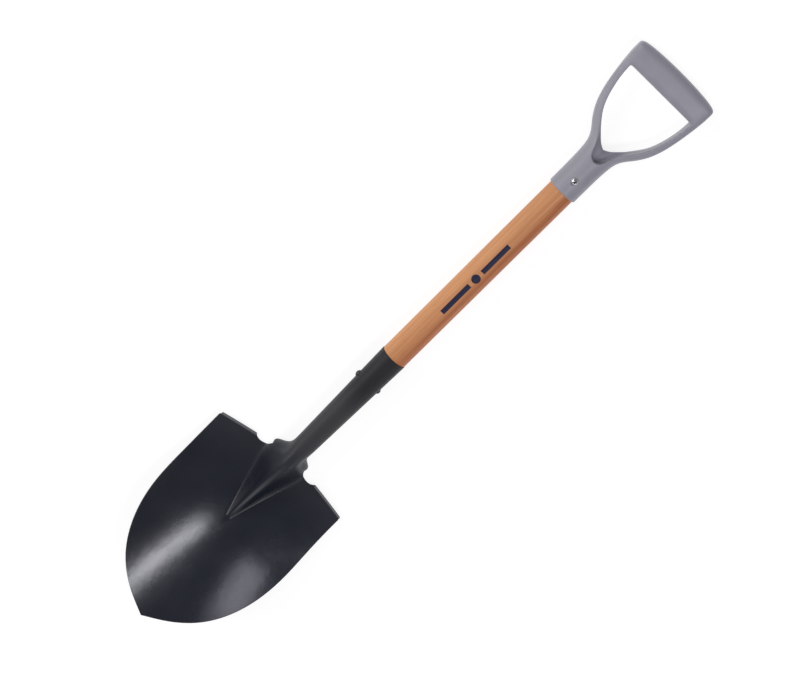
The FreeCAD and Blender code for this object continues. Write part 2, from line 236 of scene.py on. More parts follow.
# Half sections of the neck as control points (y, z), from crest to back, at each x.
NECK_ROWS = [
    (-214, [(0, 14.4), (7.4, 14.2), (17.5, -4), (27, -21.5), (31.5, -28.5),
            (32.5, -36), (28, -44), (14, -44), (0, -44)]),
    (-207.5, [(0, 15.3), (7.2, 14.9), (14.4, 3), (21, -11), (30.5, -21.5),
              (32, -31), (25, -37), (12, -37), (0, -37)]),
    (-201, [(0, 15.8), (6.9, 15.1), (12.2, 7), (15, -3.5), (23.5, -13.5),
            (24.5, -24), (17, -29), (8, -29), (0, -29)]),
    (-194, [(0, 16), (6.4, 15.3), (11.5, 9.4), (14, 1), (17, -7),
            (17.5, -16), (12.5, -21.5), (6, -22), (0, -22)]),
    (-185, [(0, 16), (6, 15.2), (11.3, 10.6), (14.4, 4), (15.6, -2.5),
            (14.6, -9.5), (10.8, -14.8), (5.8, -17.6), (0, -18)]),
]


def section_rows():
    rows = [(x, frog_row(x)) for x in (-366, -354, -342, -326, -302, -274, -248, -230)]
    rows += NECK_ROWS
    for x in (-176, -166, -140, -100, -50, -15, 0):
        rows.append((x, ring_row(mix(MOUTH_RADIUS, NECK_RADIUS, x / NECK_X))))
    return rows


class Skin:
    """Smooth skin over the ridge, neck and socket; a section is read off at any x."""

    def __init__(self):
        rows = section_rows()
        self.stations = np.array([x for x, _ in rows], float)
        nets = []
        for _, half in rows:
            nets.append(half + [(-y, z) for y, z in half[-2:0:-1]])
        self.net = np.array(nets, float)
        self.u = np.linspace(0, len(rows) - 3, 6000)
        self.x = clamped_weights(len(rows), self.u) @ self.stations

    def sections(self, xs, v):
        """Points (y, z) of the section at each x, for each place v round the ring."""
        u = np.interp(xs, self.x, self.u)
        nets = np.einsum("xr,rkc->xkc", clamped_weights(len(self.stations), u), self.net)
        return np.einsum("vk,xkc->xvc", ring_weights(self.net.shape[1], v), nets)


skin = Skin()
RIDGE_STEP = (0.5, 0.25)   # spacing of the ridge's height table along x and y
RIDGE_X = np.arange(-365.5, -212.0, RIDGE_STEP[0])
RIDGE_Y = np.arange(0, 50, RIDGE_STEP[1])


def ridge_table():
    """Height of the ridge over a grid of places; its flanks run on straight below the dish."""
    table = []
    for section in skin.sections(RIDGE_X, np.linspace(0, 4.6, 260)):
        widest = int(np.argmax(section[:, 0])) + 1
        y, z = section[:widest].T
        steep = np.flatnonzero(-np.diff(z) > 1.3 * FROG_SLOPE * np.diff(y))
        last = int(steep[0]) if len(steep) else widest - 1
        flank = z[last] - FROG_SLOPE * (RIDGE_Y - y[last])
        top = np.interp(RIDGE_Y, y[:last + 1], z[:last + 1])
        table.append(np.where(RIDGE_Y < y[last], top, flank))
    return np.array(table)


RIDGE = ridge_table()


def ridge_height(x, y):
    i = np.clip((x - RIDGE_X[0]) / RIDGE_STEP[0], 0, len(RIDGE_X) - 1.001)
    j = np.clip(y / RIDGE_STEP[1], 0, len(RIDGE_Y) - 1.001)
    a, b = i.astype(int), j.astype(int)
    s, t = i - a, j - b
    low = mix(RIDGE[a, b], RIDGE[a, b + 1], t)
    high = mix(RIDGE[a + 1, b], RIDGE[a + 1, b + 1], t)
    return np.where(x < RIDGE_X[0], NO_RIDGE_Z, mix(low, high, s))


def front_height(x, y):
    """Front surface of the blade: the dish, with the ridge rising out of it."""
    x, y = np.asarray(x, float), np.abs(np.asarray(y, float))
    reach = mix(*CREASE, np.clip((x - FROG_END_X) / (FROG_TOP_X - FROG_END_X), 0, 1))
    reach = np.maximum(reach * (1 - smooth((x + 224) / 10)), 0.3)
    return blended_max(dish_height(x, y), ridge_height(x, y), reach)


def on_front(plan):
    """Plan points (x, y) lifted onto the front surface."""
    return np.concatenate([plan, front_height(plan[..., 0], plan[..., 1])[..., None]], -1)


# ---- the blade as one sheet ----
BASE_X = -236.0            # where the pan's net meets the strips of the shoulders and the ridge
NOTCH_BOTTOM = NOTCH_X - NOTCH_RADIUS
BASE_ROWS = np.r_[np.linspace(BASE_X, NOTCH_BOTTOM - 0.7, 8), NOTCH_BOTTOM]
CENTRE_Y = np.linspace(0, NOTCH_Y, 39)
FOLD_Y = 51.885            # where the side of the notch reaches the fold
WALL_Y = 54.47             # inner end of the foot step, where the notch cuts through it
ARC_Y = np.linspace(NOTCH_Y, FOLD_Y, 9)
FOLD_SIDE_Y = np.linspace(FOLD_Y, WALL_Y, 6)
NOTCH_SIDE_Y = np.r_[ARC_Y, FOLD_SIDE_Y[1:]]
STEP_Y = np.r_[54.9, 55.5, 56.3, 57.3, 58.7, np.linspace(60.7, 105, 20), 106.3, 107.3, 108, 108.6, 109]
CORNER_Y = np.array([109.9, 110.9])


def shoulder_x(y):
    return SHOULDER_X - SHOULDER_DROP * (y - NOTCH_Y) / (HALF_WIDTH - 1.3 - NOTCH_Y)


def fold_x(y):
    """Where the sheet starts to turn up into the foot step."""
    return shoulder_x(y) - SHEET - STEP_BEND


def notch_side_x(y):
    """Where the outer side of the notch's arc lies."""
    return NOTCH_X - np.sqrt(NOTCH_RADIUS ** 2 - (y - NOTCH_Y) ** 2)


def outline():
    """Edge of the blade from the left shoulder round the point to the right shoulder."""
    side = [(BASE_X, 110.9), (-300, HALF_WIDTH), (-365, 110.8), (-415, 99), (-461, 71),
            (-491.5, 30.5), (TIP_X, 0)]
    left = fair_path(side, 1200)
    return np.concatenate([left, left[-2::-1] * (1, -1)])


def pan_grid():
    """Plan of the blade below the shoulders, as a net stretched between its four edges."""
    edge = outline()
    run = np.r_[0, np.cumsum(np.linalg.norm(np.diff(edge, axis=0), axis=1))]
    half = np.r_[CENTRE_Y, NOTCH_SIDE_Y[1:], STEP_Y, CORNER_Y]
    base_y = np.r_[half[::-1], -half[1:]]
    s = (110.9 - base_y) / 221.8
    split = 232.0          # length of each side edge, before the edge round the point
    rows = 132

    def at(lengths):
        return np.stack([np.interp(lengths, run, edge[:, c]) for c in range(2)], -1)

    base = np.stack([np.full_like(base_y, BASE_X), base_y], -1)
    tip = at(mix(split, run[-1] - split, s))
    t = np.linspace(0, 1, rows)
    left, right = at(t * split), at(run[-1] - t * split)
    S, T = s[None, :, None], t[:, None, None]
    net = (1 - T) * base[None] + T * tip[None] + (1 - S) * left[:, None] + S * right[:, None]
    net -= (1 - S) * (1 - T) * base[0] + S * (1 - T) * base[-1]
    net -= (1 - S) * T * tip[0] + S * T * tip[-1]
    return on_front(net)


def shoulder_grid(side):
    """Strip between the pan and the fold of a shoulder, from the notch outwards."""
    y = np.r_[NOTCH_SIDE_Y, STEP_Y, CORNER_Y]
    inner = np.r_[notch_side_x(ARC_Y), fold_x(FOLD_SIDE_Y[1:])]
    top = np.r_[inner, fold_x(STEP_Y), fold_x(STEP_OUTER_Y) - np.array([0.4, 2.2])]
    t = ((BASE_ROWS - BASE_X) / (NOTCH_BOTTOM - BASE_X))[:, None]
    plan = np.stack([mix(BASE_X, top[None], t), np.broadcast_to(side * y, (len(t), len(y)))], -1)
    return on_front(plan)


def fold(y, turn_end):
    """Rows of the fold over places y, turning up from the dish as far as turn_end."""
    start = fold_x(y)
    slope = (front_height(start + 0.2, y) - front_height(start - 0.2, y)) / 0.4
    lean = np.arctan(slope)
    centre_z = front_height(start, y) + STEP_BEND * np.cos(lean)
    rows = []
    for k in range(7):
        turn = mix(lean, np.maximum(turn_end, lean), k / 6)
        x = start + STEP_BEND * (np.sin(turn) - np.sin(lean) * (1 - k / 6))
        rows.append(np.stack([x, y, centre_z - STEP_BEND * np.cos(turn)], -1))
    return rows


def notch_side_grid(side):
    """Part of the fold that the notch's round side cuts off."""
    y = FOLD_SIDE_Y
    reach = np.clip((notch_side_x(y) - fold_x(y)) / STEP_BEND, 0, 1)
    reach[0] = 0
    reach[-1] = 1
    return np.array(fold(y, np.arcsin(reach))) * (1, side, 1)


def step_grid(side):
    """Foot step: the fold, then the flat that stands up to the front, with rounded ends."""
    y = np.r_[WALL_Y, STEP_Y]
    rows = fold(y, np.full(len(y), math.pi / 2))
    foot = rows[-1]
    lost = 0
    for gap, corner in zip((y - WALL_Y, STEP_OUTER_Y - y), STEP_CORNERS):
        inside = np.clip(corner - gap, 0, corner)
        lost = lost + corner - np.sqrt(corner ** 2 - inside ** 2)
    top = np.maximum(dish_height(shoulder_x(y), y) + STEP_DEPTH - lost, foot[:, 2] + 0.5)
    for k in range(1, 7):
        rows.append(np.stack([foot[:, 0], y, mix(foot[:, 2], top, k / 6)], -1))
    return np.array(rows) * (1, side, 1)


def centre_grid():
    """Middle strip: ridge between the notches, then the neck folding back into the socket."""
    flat_x = np.r_[BASE_ROWS, -225.42, -225.2, -224.8, -224.2, -223.4,
                   -222.4, -221.2, -220, -218.6, -217.2, -215.6, -214]
    w = np.r_[-CENTRE_Y[:0:-1], CENTRE_Y] / NOTCH_Y
    clear = np.sqrt(np.maximum(NOTCH_RADIUS ** 2 - (flat_x - NOTCH_X) ** 2, 0))
    edge = np.where(flat_x > NOTCH_X - NOTCH_RADIUS, NOTCH_Y - clear, NOTCH_Y)
    plan = np.stack([np.broadcast_to(flat_x[:, None], (len(flat_x), len(w))), edge[:, None] * w], -1)
    flat = on_front(plan)
    last = skin.sections(np.array([-214.0]), np.linspace(0, 4.4, 400))[0]
    widest = int(np.argmax(last[:, 0])) + 1
    v_start = np.interp(np.abs(w) * edge[-1], last[:widest, 0], np.linspace(0, 4.4, 400)[:widest])
    xs = np.r_[np.arange(-212.8, -176, 1.2), np.arange(-176, -4, 5), -2.5, 0]
    v_edge = np.interp(xs, [-214, -207, -200, -194, -185, -176, -150, 0],
                       [v_start[0], 4.9, 6.0, 6.75, 7.3, 7.5, 7.66, 7.85])
    rows = []
    for x, v_end in zip(xs, v_edge):
        share = mix(v_start / v_start[0], np.abs(w), float(smooth((x + 214) / 30)))
        section = skin.sections(np.array([x]), share * v_end)[0]
        rows.append(np.stack([np.full_like(w, x), np.sign(w) * section[:, 0], section[:, 1]], -1))
    return np.concatenate([flat, np.array(rows)])


def sheet_mesh(name, grids, thickness):
    """One mesh from front-surface grids: front, back, and a rounded rim along every free edge."""
    bm = bmesh.new()
    for grid in grids:
        rows, columns = grid.shape[:2]
        verts = [[bm.verts.new(p) for p in row] for row in grid]
        for i in range(rows - 1):
            for j in range(columns - 1):
                bm.faces.new((verts[i][j], verts[i][j + 1], verts[i + 1][j + 1], verts[i + 1][j]))
    bmesh.ops.remove_doubles(bm, verts=bm.verts, dist=1e-3)
    bmesh.ops.recalc_face_normals(bm, faces=bm.faces)
    bm.normal_update()
    lowest = min(bm.faces, key=lambda f: f.calc_center_median().x)
    if lowest.normal.z < 0:
        bmesh.ops.reverse_faces(bm, faces=bm.faces)
    bm.normal_update()
    bm.verts.index_update()
    points = np.array([v.co for v in bm.verts])
    normals = np.array([v.normal for v in bm.verts])
    faces = [[v.index for v in f.verts] for f in bm.faces]
    rim_next = {}
    away = {}
    for f in bm.faces:
        for loop in f.loops:
            if len(loop.edge.link_faces) == 1:
                a, b = loop.vert.index, loop.link_loop_next.vert.index
                rim_next[a] = b
                side = np.cross(points[b] - points[a], normals[a] + normals[b])
                side = side / max(np.linalg.norm(side), 1e-9)
                for k in (a, b):
                    away.setdefault(k, []).append(side)
    bm.free()
    rim = sorted(rim_next)
    out = {}
    for k in rim:
        sides = away[k]
        direction = sum(sides)
        direction = direction - normals[k] * (direction @ normals[k])
        direction = direction / max(np.linalg.norm(direction), 1e-9)
        out[k] = direction / max(abs(float(direction @ sides[0])), 0.6)
    front_points = points.copy()
    for k in rim:
        front_points[k] = points[k] - out[k] * RIM
    all_points = [front_points, front_points - normals * thickness]
    all_normals = [normals, -normals]
    count = len(points)
    all_faces = list(faces) + [[v + count for v in reversed(f)] for f in faces]
    rim_rows = []
    base = 2 * count
    angles = (30, 60, 90)
    profile = [(a, 0) for a in angles] + [(a, 1) for a in reversed(angles)]
    for angle, back in profile:
        s, c = math.sin(math.radians(angle)), math.cos(math.radians(angle))
        ring, ring_normals = [], []
        for k in rim:
            n, o = normals[k], out[k]
            depth = thickness - RIM + RIM * c if back else RIM - RIM * c
            ring.append(front_points[k] + o * RIM * s - n * depth)
            ring_normals.append(unit(o * s + n * (-c if back else c)))
        all_points.append(np.array(ring))
        all_normals.append(np.array(ring_normals))
        rim_rows.append({k: base + i for i, k in enumerate(rim)})
        base += len(rim)
    rings = [{k: k for k in rim}] + rim_rows + [{k: k + count for k in rim}]
    for a, b in rim_next.items():
        for upper, lower in zip(rings, rings[1:]):
            all_faces.append([upper[b], upper[a], lower[a], lower[b]])
    return mesh_object(name, np.concatenate(all_points), all_faces, np.concatenate(all_normals))


def mesh_object(name, points, faces, normals):
    """Object in the row frame from points in millimetres in the tool's frame."""
    mesh = bpy.data.meshes.new(name)
    mesh.from_pydata(placed(points).tolist(), [], [list(map(int, f)) for f in faces])
    mesh.validate()
    mesh.shade_smooth()
    mesh.normals_split_custom_set_from_vertices(turned(unit(normals)).tolist())
    made = bpy.data.objects.new(name, mesh)
    bpy.context.scene.collection.objects.link(made)
    return made


def blade():
    grids = [pan_grid(), centre_grid()]
    for side in (1, -1):
        grids += [shoulder_grid(side), notch_side_grid(side), step_grid(side)]
    return sheet_mesh("pressed_blade", grids, SHEET)


# ---- the moulded grip ----
# Outer shape: x, half width, half depth, and how square the section is.
GRIP_ROWS = np.array([
    (312, 21.15, 21.15, 2), (325, 21.15, 21.15, 2), (345, 21.15, 21.15, 2), (360, 21.5, 21.3, 2),
    (372, 22.2, 21.2, 2.1), (383, 23.8, 20.4, 2.2), (393, 29, 18.6, 2.4), (404, 39, 16.4, 2.6),
    (417, 47.5, 14.2, 3.0), (432, 53.6, 13.0, 3.4), (450, 58, 12.6, 3.8), (468, 60.8, 13.2, 4.2),
    (482, 62.4, 14.6, 4.6), (494, 63.5, 15.8, 5.0), (506, 64.0, 15.9, 5.0), (515, 63.8, 15.8, 5.0),
    (523, 63.0, 15.6, 5.0),
])
# One side of the hand opening, at the web in the crotch and at the front and back faces.
WEB_EDGE = [(385.5, 0), (388.5, 6), (395, 13.9), (407.5, 26), (422.5, 37.4), (436, 43.8),
            (450, 48.2), (466, 51.6), (482, 53.2), (515, 53.6)]
FACE_EDGE = [(368, 0), (371.5, 7.5), (379, 11.6), (396, 19.8), (410, 29.6), (424, 39), (438, 45),
             (450, 48.4), (466, 51.6), (482, 53.2), (515, 53.6)]
EDGE_STEP = 0.5            # spacing of the tables of distance to the opening's edges
EDGE_X = np.arange(340, 540, EDGE_STEP)
EDGE_Y = np.arange(0, 80, EDGE_STEP)
GRIP_CELL = 0.85           # size of the grip's mesh cells
GRIP_BOX = ((310, -66, -23), (524, 66, 23))


def edge_distance(points):
    """Distance from a grid of places to one side of the hand opening, negative inside it."""
    path = fair_path(points, 420)
    a, b = path[:-1], path[1:]
    gx, gy = np.meshgrid(EDGE_X, EDGE_Y, indexing="ij")
    spot = np.stack([gx, gy], -1)
    best = np.full(gx.shape, 1e9)
    sign = np.ones(gx.shape)
    for p, q in zip(a, b):
        d = q - p
        rel = spot - p
        t = np.clip((rel @ d) / (d @ d), 0, 1)
        gap = rel - t[..., None] * d
        dist = np.hypot(gap[..., 0], gap[..., 1])
        closer = dist < best
        best = np.where(closer, dist, best)
        side = d[0] * rel[..., 1] - d[1] * rel[..., 0]
        sign = np.where(closer, np.where(side > 0, 1, -1), sign)
    return best * sign


def looked_up(table, x, y):
    i = np.clip((x - EDGE_X[0]) / EDGE_STEP, 0, len(EDGE_X) - 1.001)
    j = np.clip(y / EDGE_STEP, 0, len(EDGE_Y) - 1.001)
    a, b = i.astype(int), j.astype(int)
    s, t = i - a, j - b
    return mix(mix(table[a, b], table[a, b + 1], t), mix(table[a + 1, b], table[a + 1, b + 1], t), s)


def grip_field():
    """Signed field of the grip: negative in the plastic, zero on its surface."""
    u = np.linspace(0, len(GRIP_ROWS) - 3, 4000)
    net = clamped_weights(len(GRIP_ROWS), u) @ GRIP_ROWS
    web, face = edge_distance(WEB_EDGE), edge_distance(FACE_EDGE)

    def field(p):
        x, y, z = p[..., 0], np.abs(p[..., 1]), np.abs(p[..., 2])
        wide, deep, power = (np.interp(x, net[:, 0], net[:, c]) for c in (1, 2, 3))
        reach = ((y / wide) ** power + (z / deep) ** power + 1e-9) ** (1 / power)
        body = (reach - 1) * np.minimum(wide, deep)
        body = blended_max(body, SLEEVE_X - x, 2.5)
        bow = BAR_BOW * (y / BAR_HALF_WIDTH) ** 2
        end = BAR_END_X - bow - BAR_END_CURVE * (z / BAR_HALF_DEPTH) ** 4
        body = blended_max(body, x - end, 7.0)
        t = smooth((z - 1.0) / WEB_RISE)
        sides = mix(looked_up(web, x, y), looked_up(face, x, y), t)
        bar = x - (BAR_X + BAR_ROUNDING * np.clip((z - 1.5) / 14.5, 0, 1.1) ** 4)
        opening = blended_max(sides, bar, 6.0)
        body = blended_max(body, -opening, 2.8)
        bore = np.maximum(np.hypot(y, z) - TENON_RADIUS, x - SLEEVE_X - TENON_LENGTH)
        body = blended_max(body, -bore, 1.2)
        seat = np.hypot(x - SCREW_X, y) - SCREW_SEAT_RADIUS
        seat = np.maximum(seat, SCREW_SEAT_Z - p[..., 2])
        return blended_max(body, -seat, 0.8)

    return field


def slope_of(field, p, step):
    parts = []
    for c in range(3):
        d = np.zeros(3)
        d[c] = step
        parts.append((field(p + d) - field(p - d)) / (2 * step))
    return np.stack(parts, -1)


def surface_net(field, low, high, cell):
    """Quads on the zero surface of a field, one vertex for each grid cell that it passes through."""
    axes = [np.arange(a, b + cell, cell) for a, b in zip(low, high)]
    shape = tuple(len(a) for a in axes)
    value = np.empty(shape)
    gy, gz = np.meshgrid(axes[1], axes[2], indexing="ij")
    for i, x in enumerate(axes[0]):
        value[i] = field(np.stack([np.full_like(gy, x), gy, gz], -1))
    inside = value < 0
    total = np.zeros((np.prod(shape), 3))
    hits = np.zeros(np.prod(shape))
    crossings = []
    for d in range(3):
        here = [slice(None)] * 3
        there = [slice(None)] * 3
        here[d], there[d] = slice(0, -1), slice(1, None)
        a, b = value[tuple(here)], value[tuple(there)]
        cut = np.argwhere(inside[tuple(here)] != inside[tuple(there)])
        va, vb = a[tuple(cut.T)], b[tuple(cut.T)]
        spot = cut.astype(float)
        spot[:, d] += va / (va - vb)
        e, g = [k for k in range(3) if k != d]
        around = []
        for oe, og in ((-1, -1), (0, -1), (0, 0), (-1, 0)):
            cells = cut.copy()
            cells[:, e] += oe
            cells[:, g] += og
            flat = np.ravel_multi_index(tuple(cells.T), shape)
            np.add.at(total, flat, spot)
            np.add.at(hits, flat, 1)
            around.append(flat)
        quads = np.stack(around, -1)
        flip = (va < 0) == (d == 1)
        quads[flip] = quads[flip][:, ::-1]
        crossings.append(quads)
    used = np.flatnonzero(hits)
    number = np.full(len(hits), -1)
    number[used] = np.arange(len(used))
    points = total[used] / hits[used][:, None] * cell + np.array([a[0] for a in axes])
    faces = number[np.concatenate(crossings)]
    return points, faces


def grip():
    """The grip's mesh: its points are evened out and then put back on the surface, three times."""
    field = grip_field()
    points, faces = surface_net(field, *GRIP_BOX, GRIP_CELL)
    edges = np.concatenate([faces[:, [k, (k + 1) % 4]] for k in range(4)])
    for _ in range(3):
        total = np.zeros_like(points)
        count = np.zeros(len(points))
        for a, b in ((0, 1), (1, 0)):
            np.add.at(total, edges[:, a], points[edges[:, b]])
            np.add.at(count, edges[:, a], 1)
        points = mix(points, total / count[:, None], 0.6)
        for _ in range(3):
            slope = slope_of(field, points, 0.15)
            step = field(points)[:, None] * slope / np.maximum((slope ** 2).sum(-1), 0.2)[:, None]
            points = points - np.clip(step, -0.8, 0.8)
    normals = slope_of(field, points, 0.35)
    a, b, c = (points[faces[:, k]] for k in (0, 1, 2))
    facing = np.einsum("ij,ij->i", np.cross(b - a, c - b), normals[faces[:, 1]])
    if np.median(facing) < 0:
        faces = faces[:, ::-1]
    return mesh_object("moulded_grip", points, faces, normals)


# ---- materials ----
class Paint:
    """A node material; each call of add makes one node and wires its inputs."""

    def __init__(self, name):
        self.material = bpy.data.materials.new(name)
        self.material.use_nodes = True
        self.tree = self.material.node_tree
        self.shader = self.tree.nodes["Principled BSDF"]
        self.place = self.add("ShaderNodeTexCoord").outputs["Object"]

    def add(self, kind, inputs=None, **settings):
        node = self.tree.nodes.new(kind)
        for key, value in settings.items():
            setattr(node, key, value)
        self.wire(node, inputs or {})
        return node

    def wire(self, node, inputs):
        for key, value in inputs.items():
            socket = node.inputs[key]
            if isinstance(value, bpy.types.NodeSocket):
                self.tree.links.new(value, socket)
            else:
                socket.default_value = value

    def tool_place(self):
        """Coordinates in metres in the tool's own frame, from the socket's mouth."""
        shifted = self.add("ShaderNodeVectorMath", {0: self.place, 1: mouth}, operation="SUBTRACT")
        lean = math.atan2(along.z, along.x)
        turn = self.add("ShaderNodeVectorRotate", {"Vector": shifted.outputs[0], "Angle": lean},
                        rotation_type="Y_AXIS")
        return turn.outputs[0]

    def scaled(self, place, scale):
        return self.add("ShaderNodeVectorMath", {0: place, 1: scale}, operation="MULTIPLY").outputs[0]

    def noise(self, place, scale, detail=3.0, rough=0.5, distortion=0.0):
        node = self.add("ShaderNodeTexNoise", {
            "Vector": place, "Scale": scale, "Detail": detail, "Roughness": rough,
            "Distortion": distortion})
        return node.outputs["Fac"]

    def ramp(self, value, low, high, to_low=0.0, to_high=1.0, smoothly=False):
        kind = "SMOOTHSTEP" if smoothly else "LINEAR"
        node = self.add("ShaderNodeMapRange", {
            "Value": value, "From Min": low, "From Max": high, "To Min": to_low, "To Max": to_high},
            interpolation_type=kind)
        return node.outputs["Result"]

    def maths(self, operation, a, b=0.0):
        return self.add("ShaderNodeMath", {0: a, 1: b}, operation=operation).outputs[0]

    def colour(self, fac, a, b, blend="MIX"):
        node = self.add("ShaderNodeMix", data_type="RGBA", blend_type=blend)
        for index, value in ((0, fac), (6, a), (7, b)):
            if isinstance(value, bpy.types.NodeSocket):
                self.tree.links.new(value, node.inputs[index])
            elif index == 0:
                node.inputs[index].default_value = value
            else:
                node.inputs[index].default_value = (*value, 1.0)
        return node.outputs[2]

    def bump(self, height, strength, distance, under=None):
        inputs = {"Height": height, "Strength": strength, "Distance": distance}
        if under is not None:
            inputs["Normal"] = under
        return self.add("ShaderNodeBump", inputs).outputs[0]

    def finish(self, **inputs):
        names = {key.replace("_", " "): value for key, value in inputs.items()}
        self.wire(self.shader, names)
        return self.material


def painted_steel():
    """Semi-gloss charcoal paint with a fine orange-peel skin, thinner on the cut edges."""
    p = Paint("charcoal_paint")
    place = p.tool_place()
    axes = p.add("ShaderNodeSeparateXYZ", {0: place})
    cloudy = p.noise(place, 22.0, 4.0, 0.55)
    fine = p.noise(place, 420.0, 2.0, 0.5)
    colour = p.colour(p.ramp(cloudy, 0.35, 0.7), (0.0092, 0.0112, 0.0200), (0.0120, 0.0142, 0.0240))
    socket = p.ramp(axes.outputs[0], -0.205, -0.165, smoothly=True)
    # painted sheen: the socket's matte paint is made lighter towards the neck, standing in for light
    # falling on it from the collar
    neck_sheen_ramp = p.ramp(axes.outputs[0], -0.050, -0.110, smoothly=True)
    socket_paint_and_sheen = p.colour(neck_sheen_ramp, (0.017, 0.0165, 0.020), (0.040, 0.039, 0.044))
    colour = p.colour(socket, colour, socket_paint_and_sheen)
    pointed = p.add("ShaderNodeNewGeometry").outputs["Pointiness"]
    worn = p.maths("MULTIPLY", p.ramp(pointed, 0.56, 0.70), p.ramp(fine, 0.35, 0.65))
    colour = p.colour(worn, colour, (0.10, 0.105, 0.115))
    rough = p.ramp(cloudy, 0.3, 0.7, 0.17, 0.20)
    matt = p.ramp(axes.outputs[0], -0.300, -0.200, smoothly=True)
    rough = p.maths("ADD", rough, p.maths("MULTIPLY", matt, 0.30))
    skin_bump = p.bump(p.noise(place, 900.0, 2.0, 0.5), 0.10, 0.0003)
    waves = p.bump(p.noise(place, 55.0, 2.0, 0.5), 0.12, 0.0012, skin_bump)
    return p.finish(Base_Color=colour, Roughness=rough, Normal=waves,
                    Specular_IOR_Level=p.ramp(socket, 0.0, 1.0, 0.55, 0.28))


def wood():
    """Clear-lacquered hardwood: warm bands, fine lengthwise pores, and a plain printed mark."""
    p = Paint("lacquered_hardwood")
    place = p.tool_place()
    axes = p.add("ShaderNodeSeparateXYZ", {0: place})
    x, y, z = axes.outputs
    bands = p.noise(p.scaled(place, (1.2, 26.0, 26.0)), 3.2, 4.0, 0.55, 0.4)
    streaks = p.noise(p.scaled(place, (5.0, 420.0, 420.0)), 1.0, 6.0, 0.65)
    pores = p.noise(p.scaled(place, (28.0, 1500.0, 1500.0)), 1.0, 2.0, 0.5)
    colour = p.colour(p.ramp(bands, 0.32, 0.70), (0.56, 0.246, 0.103), (0.74, 0.350, 0.158))
    colour = p.colour(p.ramp(streaks, 0.45, 0.75, 0.0, 0.55), colour, (0.44, 0.165, 0.064))
    dark_pores = p.ramp(pores, 0.62, 0.74, 0.0, 0.5)
    colour = p.colour(dark_pores, colour, (0.24, 0.10, 0.048))
    # painted shade: the shaft is made darker and redder towards its right-hand side (negative Y), away
    # from the lamps on the left; the bands make the edge of this shade uneven
    shaded_side = p.maths("ADD", y, p.ramp(bands, 0.3, 0.7, -0.006, 0.006))
    shaded_side = p.ramp(shaded_side, 0.002, -0.015, 0.0, 1.0, smoothly=True)
    colour = p.colour(shaded_side, colour, (0.76, 0.56, 0.50), blend="MULTIPLY")
    ends = p.ramp(x, 0.0015, 0.0, 0.0, 0.6)
    colour = p.colour(ends, colour, (0.20, 0.09, 0.045))
    mark = printed_mark(p, x, y, z, p.noise(place, 1500.0, 2.0, 0.6))
    colour = p.colour(mark, colour, (0.006, 0.011, 0.045))
    rough = p.ramp(streaks, 0.3, 0.8, 0.40, 0.50)
    bumped = p.bump(p.maths("ADD", streaks, p.maths("MULTIPLY", pores, 0.6)), 0.10, 0.0003)
    return p.finish(Base_Color=colour, Roughness=rough, Normal=bumped, Specular_IOR_Level=0.25)


def printed_mark(p, x, y, z, grain):
    """Plain navy print along the front of the shaft: a dot between two bars."""
    across = p.maths("MULTIPLY", p.maths("ARCTAN2", y, z), SHAFT_RADIUS * MM)
    dot = p.add("ShaderNodeCombineXYZ", {0: p.maths("SUBTRACT", x, 156.0 * MM), 1: across})
    reach = p.add("ShaderNodeVectorMath", {0: dot.outputs[0]}, operation="LENGTH").outputs["Value"]
    total = p.ramp(reach, 6.4 * MM, 6.1 * MM)
    for start, stop in ((93.0, 144.0), (168.0, 217.0)):
        middle, half = (start + stop) / 2, (stop - start) / 2
        lengthwise = p.maths("ABSOLUTE", p.maths("SUBTRACT", x, middle * MM))
        long_part = p.ramp(lengthwise, (half + 0.15) * MM, (half - 0.15) * MM)
        wide_part = p.ramp(p.maths("ABSOLUTE", across), 3.6 * MM, 3.3 * MM)
        total = p.maths("MAXIMUM", total, p.maths("MULTIPLY", long_part, wide_part))
    total = p.maths("MULTIPLY", total, p.ramp(z, 0.0, 0.002))
    return p.maths("MULTIPLY", total, p.ramp(grain, 0.30, 0.42, 0.88, 0.99))


def grey_plastic():
    """Satin moulded plastic with a fine spark-eroded texture."""
    p = Paint("moulded_grey")
    place = p.tool_place()
    cloudy = p.noise(place, 30.0, 3.0, 0.5)
    fine = p.noise(place, 1400.0, 2.0, 0.5)
    specks = p.noise(place, 700.0, 3.0, 0.6)
    colour = p.colour(p.ramp(cloudy, 0.3, 0.7), (0.282, 0.277, 0.327), (0.320, 0.315, 0.366))
    colour = p.colour(p.ramp(specks, 0.62, 0.78, 0.0, 0.35), colour, (0.40, 0.395, 0.44))
    rough = p.ramp(cloudy, 0.3, 0.7, 0.38, 0.46)
    bumped = p.bump(fine, 0.20, 0.0003)
    bumped = p.bump(specks, 0.10, 0.0005, bumped)
    return p.finish(Base_Color=colour, Roughness=rough, Normal=bumped)


def bright_zinc():
    """Bright plated screw, with painted shade down in its cross recess."""
    p = Paint("bright_zinc")
    place = p.tool_place()
    blotches = p.noise(place, 900.0, 3.0, 0.6)
    colour = p.colour(blotches, (0.60, 0.61, 0.64), (0.78, 0.79, 0.81))
    axes = p.add("ShaderNodeSeparateXYZ", {0: place}).outputs
    from_axis = p.add("ShaderNodeCombineXYZ", {0: p.maths("SUBTRACT", axes[0], SCREW_X * MM), 1: axes[1]})
    from_axis = p.add("ShaderNodeVectorMath", {0: from_axis.outputs[0]}, operation="LENGTH")
    # painted shade: a dark disc in the middle of the head, below the recess's rim, stands in for the
    # shadow down in the cross recess
    middle = p.ramp(from_axis.outputs["Value"], 0.0029, 0.0027)
    recess_shade_depth = p.ramp(axes[2], (SCREW_SEAT_Z + 2.2) * MM, (SCREW_SEAT_Z + 1.9) * MM)
    colour = p.colour(p.maths("MULTIPLY", middle, recess_shade_depth), colour, (0.02, 0.02, 0.022))
    rough = p.ramp(blotches, 0.3, 0.7, 0.16, 0.30)
    bumped = p.bump(blotches, 0.05, 0.0003)
    return p.finish(Base_Color=colour, Metallic=1.0, Roughness=rough, Normal=bumped)


